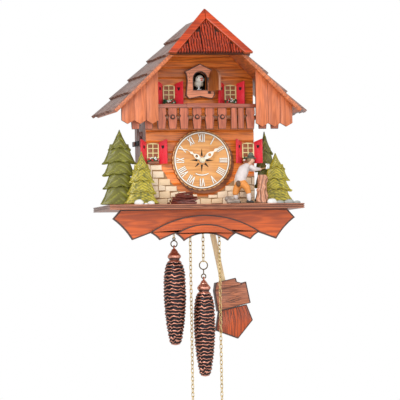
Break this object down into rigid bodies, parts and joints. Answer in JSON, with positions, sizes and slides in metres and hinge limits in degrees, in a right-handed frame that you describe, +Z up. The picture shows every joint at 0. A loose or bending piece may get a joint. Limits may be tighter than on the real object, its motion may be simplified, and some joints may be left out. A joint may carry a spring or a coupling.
{
  "type": "cuckoo clock",
  "caption": "Chalet cuckoo clock with shingled roof, balcony, wood-chopper scene, round dial, opening bird door, chain-hung cone weights and leaf pendulum, for hanging on a wall.",
  "frame": {"origin": "centre of the hanging hole at the back panel's rear face", "axes": "+X to the viewer's right, +Y into the wall, +Z up; the dial faces -Y"},
  "size_m": [0.254, 0.1366, 0.5081],
  "materials": {
    "case_wood": "satin walnut-brown lacquer",
    "log_wood": "satin amber lacquer",
    "shingle_wood": "weathered grey-brown stain",
    "hip_wood": "glossy orange-red lacquer",
    "plank_wood": "satin salmon-brown lacquer",
    "plate_wood": "satin pink-brown lacquer",
    "door_wood": "satin brown lacquer",
    "dial_wood": "satin light lacquer",
    "red_paint": "gloss",
    "cream_plastic": "gloss",
    "flower_paint": "gloss",
    "white_plastic": "satin",
    "ivory_plastic": "satin",
    "fir_paint": "painted and sealed",
    "stone_paint": "painted relief",
    "pebble": "matt",
    "bark": "rough",
    "figure_paint": "painted",
    "stump_wood": "painted",
    "brass": "polished",
    "steel": "brushed",
    "black_steel": "satin black",
    "cone_iron": "copper-bronze lacquer",
    "bellows_cloth": "matt",
    "pine": "raw"
  },
  "bodies": {
    "case": {"back_panel": "case_wood", "side_frame_left": "case_wood", "side_panel_right": "case_wood", "front_wall": "log_wood", "shelf": "case_wood", "roof_board_left": "case_wood", "roof_board_right": "case_wood", "shingles_left": "shingle_wood", "shingles_right": "shingle_wood", "hip_panel": "hip_wood", "barge_boards": "hip_wood", "plank_screens": "plank_wood", "balcony_floor": "case_wood", "balcony_rail": "plate_wood", "balusters": "plate_wood", "window_frames": "cream_plastic", "shutters": "red_paint", "flower_boxes": "flower_paint", "cuckoo_plate": "plate_wood", "dial_backing": "case_wood", "dial_disc": "dial_wood", "dial_numerals": "white_plastic", "apron_outer": "case_wood", "apron_middle": "case_wood", "apron_inner": "case_wood", "firs_left": "fir_paint", "firs_right": "fir_paint", "pebbles": "pebble", "stone_wall": "stone_paint", "wood_pile": "bark", "chopper_figure": "figure_paint", "chopping_stump": "stump_wood", "movement_frame": "brass", "bellows_boxes": "pine", "gong": "steel"},
    "side_door": {"side_door": "case_wood"},
    "side_latch": {"side_latch": "black_steel"},
    "cuckoo_door": {"cuckoo_door": "door_wood"},
    "bird": {"cuckoo_bird": "white_plastic"},
    "bellows_lid_left": {"bellows_lid_left": "bellows_cloth"},
    "bellows_lid_right": {"bellows_lid_right": "bellows_cloth"},
    "gong_hammer": {"gong_hammer": "steel"},
    "chopper_arms": {"chopper_arms": "figure_paint"},
    "minute_hand": {"centre_arbor": "steel", "minute_hand": "ivory_plastic", "hand_nut": "ivory_plastic"},
    "hour_hand": {"hour_hand": "ivory_plastic"},
    "minute_wheel": {"minute_wheel": "brass"},
    "going_wheel": {"going_wheel": "brass"},
    "strike_wheel": {"strike_wheel": "brass"},
    "escape_wheel": {"escape_wheel": "brass"},
    "anchor": {"anchor": "steel"},
    "pendulum": {"pendulum_stick": "pine", "pendulum_bob": "case_wood"},
    "going_load": {"going_chain_load": "brass"},
    "going_cone": {"going_cone": "cone_iron"},
    "going_free": {"going_chain_free": "brass"},
    "strike_load": {"strike_chain_load": "brass"},
    "strike_cone": {"strike_cone": "cone_iron"},
    "strike_free": {"strike_chain_free": "brass"}
  },
  "joints": [
    {"name": "side_door_hinge", "type": "hinge", "parent": "case", "child": "side_door", "pos_m": [-0.0706, -0.0398, -0.136], "axis": [0, 0, 1], "range_deg": [0, 100]},
    {"name": "side_latch_turn", "type": "hinge", "parent": "side_door", "child": "side_latch", "pos_m": [-0.0705, -0.012, -0.1105], "axis": [1, 0, 0], "range_deg": [0, 80]},
    {"name": "bird_slide", "type": "slide", "parent": "case", "child": "bird", "axis": [0, 1, 0], "range_m": [0, 0.02]},
    {"name": "cuckoo_door_hinge", "type": "hinge", "parent": "case", "child": "cuckoo_door", "pos_m": [0.0115, -0.07625, -0.038], "axis": [0, 0, 1], "range_deg": [-112, 0]},
    {"name": "bellows_left_lift", "type": "hinge", "parent": "case", "child": "bellows_lid_left", "pos_m": [-0.0545, -0.014, -0.0882], "axis": [-1, 0, 0], "range_deg": [0, 20]},
    {"name": "bellows_right_lift", "type": "hinge", "parent": "case", "child": "bellows_lid_right", "pos_m": [0.0545, -0.014, -0.0882], "axis": [-1, 0, 0], "range_deg": [0, 20]},
    {"name": "hammer_swing", "type": "hinge", "parent": "case", "child": "gong_hammer", "pos_m": [0.033, -0.01, -0.116], "axis": [0, 1, 0], "range_deg": [-25, 6]},
    {"name": "axe_swing", "type": "hinge", "parent": "case", "child": "chopper_arms", "pos_m": [0.057, -0.091, -0.143], "axis": [0, -1, 0], "range_deg": [-8, 45]},
    {"name": "minute_turn", "type": "hinge", "parent": "case", "child": "minute_hand", "pos_m": [0, -0.07, -0.1345], "axis": [0, 1, 0], "continuous": true},
    {"name": "hour_turn", "type": "hinge", "parent": "case", "child": "hour_hand", "pos_m": [0, -0.07, -0.1345], "axis": [0, 1, 0], "continuous": true},
    {"name": "minute_wheel_turn", "type": "hinge", "parent": "case", "child": "minute_wheel", "pos_m": [0.012, -0.06, -0.1345], "axis": [0, 1, 0], "continuous": true},
    {"name": "escape_turn", "type": "hinge", "parent": "case", "child": "escape_wheel", "pos_m": [0, -0.04, -0.114], "axis": [0, 1, 0], "continuous": true},
    {"name": "pendulum_swing", "type": "hinge", "parent": "case", "child": "pendulum", "pos_m": [0, -0.014, -0.094], "axis": [0, 1, 0], "range_deg": [0, 23]},
    {"name": "anchor_rock", "type": "hinge", "parent": "case", "child": "anchor", "pos_m": [0, -0.03, -0.094], "axis": [0, 1, 0], "range_deg": [0, 23]},
    {"name": "going_run", "type": "slide", "parent": "case", "child": "going_load", "axis": [0, 0, -1], "range_m": [0, 0.075]},
    {"name": "going_free_run", "type": "slide", "parent": "case", "child": "going_free", "axis": [0, 0, 1], "range_m": [0, 0.075]},
    {"name": "going_wheel_turn", "type": "hinge", "parent": "case", "child": "going_wheel", "pos_m": [-0.019, -0.04, -0.16], "axis": [0, 1, 0], "range_deg": [-410, 0]},
    {"name": "strike_run", "type": "slide", "parent": "case", "child": "strike_load", "axis": [0, 0, -1], "range_m": [-0.035, 0.04]},
    {"name": "strike_free_run", "type": "slide", "parent": "case", "child": "strike_free", "axis": [0, 0, 1], "range_m": [-0.035, 0.04]},
    {"name": "strike_wheel_turn", "type": "hinge", "parent": "case", "child": "strike_wheel", "pos_m": [0.0185, -0.04, -0.16], "axis": [0, 1, 0], "range_deg": [-219, 192]},
    {"name": "going_cone_swing", "type": "hinge", "parent": "going_load", "child": "going_cone", "pos_m": [-0.0295, -0.04, -0.242], "axis": [-1, 0, 0], "range_deg": [0, 10]},
    {"name": "strike_cone_swing", "type": "hinge", "parent": "strike_load", "child": "strike_cone", "pos_m": [0.008, -0.04, -0.282], "axis": [-1, 0, 0], "range_deg": [0, 10]}
  ],
  "couplings": [
    {"joint": "cuckoo_door_hinge", "follows": "bird_slide", "rad_per_m": -97.7},
    {"joint": "hour_turn", "follows": "minute_turn", "ratio": 0.083333},
    {"joint": "minute_wheel_turn", "follows": "minute_turn", "ratio": -0.33333},
    {"joint": "anchor_rock", "follows": "pendulum_swing", "ratio": 1},
    {"joint": "going_free_run", "follows": "going_run", "ratio": 1},
    {"joint": "going_wheel_turn", "follows": "going_run", "rad_per_m": -95.238},
    {"joint": "strike_free_run", "follows": "strike_run", "ratio": 1},
    {"joint": "strike_wheel_turn", "follows": "strike_run", "rad_per_m": -95.238}
  ]
}
